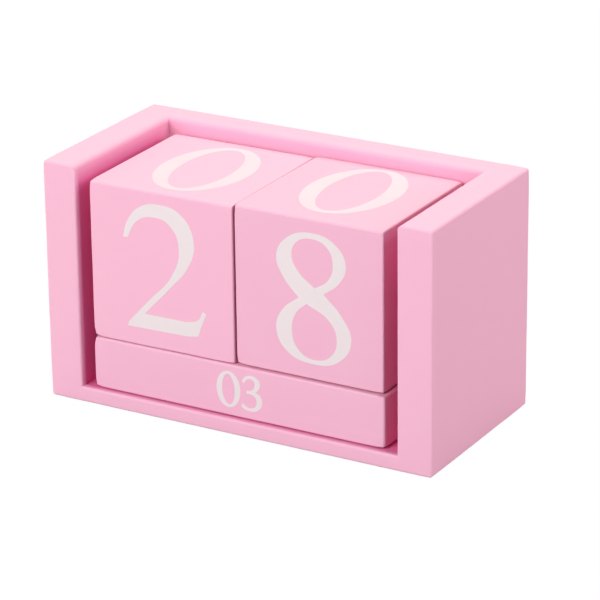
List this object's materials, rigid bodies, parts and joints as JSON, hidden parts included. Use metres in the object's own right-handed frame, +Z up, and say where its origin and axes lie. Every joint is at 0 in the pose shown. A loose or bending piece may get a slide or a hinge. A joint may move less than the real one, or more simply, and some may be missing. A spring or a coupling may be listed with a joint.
{
  "type": "perpetual desk calendar",
  "caption": "Painted wooden block calendar: number cubes stand on month bars in an open-fronted, open-topped case, and every block lifts or pulls out.",
  "frame": {"origin": "middle of the case's underside, on the surface that the calendar stands on", "axes": "+X to the right as one reads the date, +Y from the open front to the back board, +Z up"},
  "size_m": [0.095, 0.045, 0.055],
  "materials": {
    "case_paint": "satin pink paint on wood",
    "cube_paint": "satin pink paint on wood, printed with white numbers",
    "bar_paint": "satin pink paint on wood, printed with white numbers"
  },
  "bodies": {
    "case": {"base_board": "case_paint", "back_board": "case_paint", "left_side_board": "case_paint", "right_side_board": "case_paint"},
    "left_cube": {"left_number_cube": "cube_paint"},
    "right_cube": {"right_number_cube": "cube_paint"},
    "rear_bar": {"rear_month_bar": "bar_paint"},
    "middle_bar": {"middle_month_bar": "bar_paint"},
    "front_bar": {"front_month_bar": "bar_paint"}
  },
  "joints": [
    {"name": "left_cube_lift", "type": "slide", "parent": "case", "child": "left_cube", "axis": [0, 0, 1], "range_m": [0, 0.045]},
    {"name": "right_cube_lift", "type": "slide", "parent": "case", "child": "right_cube", "axis": [0, 0, 1], "range_m": [0, 0.045]},
    {"name": "rear_bar_pull", "type": "slide", "parent": "case", "child": "rear_bar", "axis": [0, -1, 0], "range_m": [0, 0.044]},
    {"name": "middle_bar_pull", "type": "slide", "parent": "rear_bar", "child": "middle_bar", "axis": [0, -1, 0], "range_m": [0, 0.032]},
    {"name": "front_bar_pull", "type": "slide", "parent": "middle_bar", "child": "front_bar", "axis": [0, -1, 0], "range_m": [0, 0.02]}
  ]
}
